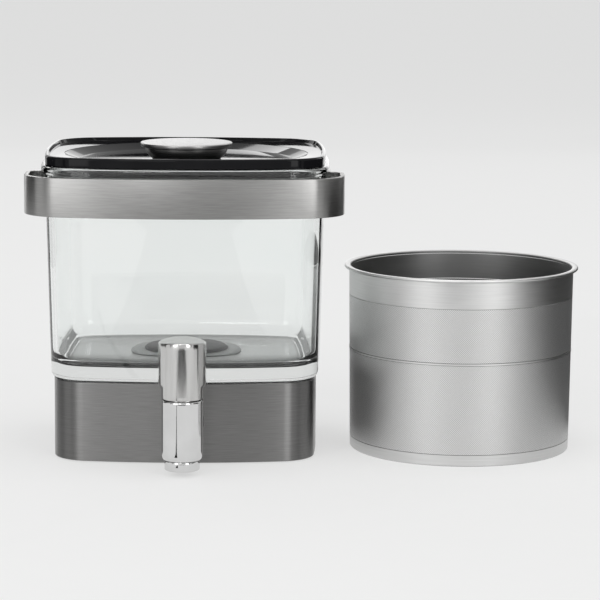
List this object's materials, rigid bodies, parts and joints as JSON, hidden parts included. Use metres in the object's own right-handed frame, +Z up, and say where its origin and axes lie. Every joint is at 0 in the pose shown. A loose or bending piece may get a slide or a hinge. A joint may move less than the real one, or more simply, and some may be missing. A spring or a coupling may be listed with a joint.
{
  "type": "cold brew coffee maker",
  "caption": "Square glass jar in a steel handle band on a steel base with a front tap, black lid with a steel knob, and a round steel mesh steeper beside it.",
  "frame": {"origin": "on the table, under the middle of the box round the maker and the steeper", "axes": "+X to the right, from the maker to the steeper; +Y to the back, away from the tap; +Z up"},
  "size_m": [0.3288, 0.1896, 0.1826],
  "materials": {
    "brushed_steel": "fine horizontal brushing",
    "polished_steel": "polished",
    "plain_steel": "satin",
    "steel_mesh": "fine woven mesh",
    "clear_glass": "clear and thick",
    "black_gloss": "high gloss",
    "black_plastic": "satin",
    "black_rubber": "matte",
    "silicone": "translucent, smooth"
  },
  "bodies": {
    "maker": {"base_shell": "brushed_steel", "base_plate": "black_plastic", "glass_jar": "clear_glass", "handle_band": "brushed_steel", "drain_seal": "silicone", "drain_clear_ring": "silicone", "drain_fitting": "black_plastic", "drain_washer": "plain_steel", "drain_nut": "black_plastic", "drain_elbow": "black_plastic", "tap_body": "polished_steel", "tap_nozzle": "polished_steel", "tap_bonnet": "plain_steel", "tap_washer_outer": "black_rubber", "tap_washer_inner": "black_rubber", "tap_nut": "plain_steel", "outlet_tube": "silicone", "hose_clamp_front": "plain_steel", "hose_clamp_back": "plain_steel", "valve_spring": "plain_steel", "foot_front_left": "black_rubber", "foot_front_right": "black_rubber", "foot_back_right": "black_rubber", "foot_back_left": "black_rubber", "plate_screw_front_left": "plain_steel", "plate_screw_front_right": "plain_steel", "plate_screw_back_right": "plain_steel", "plate_screw_back_left": "plain_steel"},
    "lid": {"lid_shell": "black_gloss", "lid_liner": "black_plastic", "lid_gasket": "black_rubber", "knob_cap": "brushed_steel", "knob_stem": "brushed_steel", "knob_screw": "plain_steel"},
    "tap_lever": {"tap_handle": "brushed_steel", "tap_pin": "plain_steel"},
    "tap_valve": {"valve_plunger": "plain_steel", "valve_seal": "black_rubber"},
    "steeper": {"steeper_rim": "plain_steel", "steeper_collar": "plain_steel", "steeper_mesh_upper": "steel_mesh", "steeper_seam": "plain_steel", "steeper_mesh_lower": "steel_mesh", "steeper_bottom_band": "plain_steel", "steeper_floor": "steel_mesh"}
  },
  "joints": [
    {"name": "lid_lift", "type": "slide", "parent": "maker", "child": "lid", "axis": [0, 0, 1], "range_m": [0, 0.06]},
    {"name": "tap_pull", "type": "hinge", "parent": "maker", "child": "tap_lever", "pos_m": [-0.0708, -0.09025, 0.0472], "axis": [1, 0, 0], "range_deg": [0, 12], "stiffness_Nm_per_rad": 0.4},
    {"name": "valve_lift", "type": "slide", "parent": "maker", "child": "tap_valve", "axis": [0, 0, 1], "range_m": [0, 0.0022], "deforming": ["valve_spring"]},
    {"name": "steeper_lift", "type": "slide", "parent": "maker", "child": "steeper", "axis": [0, 0, 1], "range_m": [0, 0.12]}
  ],
  "couplings": [
    {"joint": "valve_lift", "follows": "tap_pull", "m_per_rad": 0.0105}
  ]
}
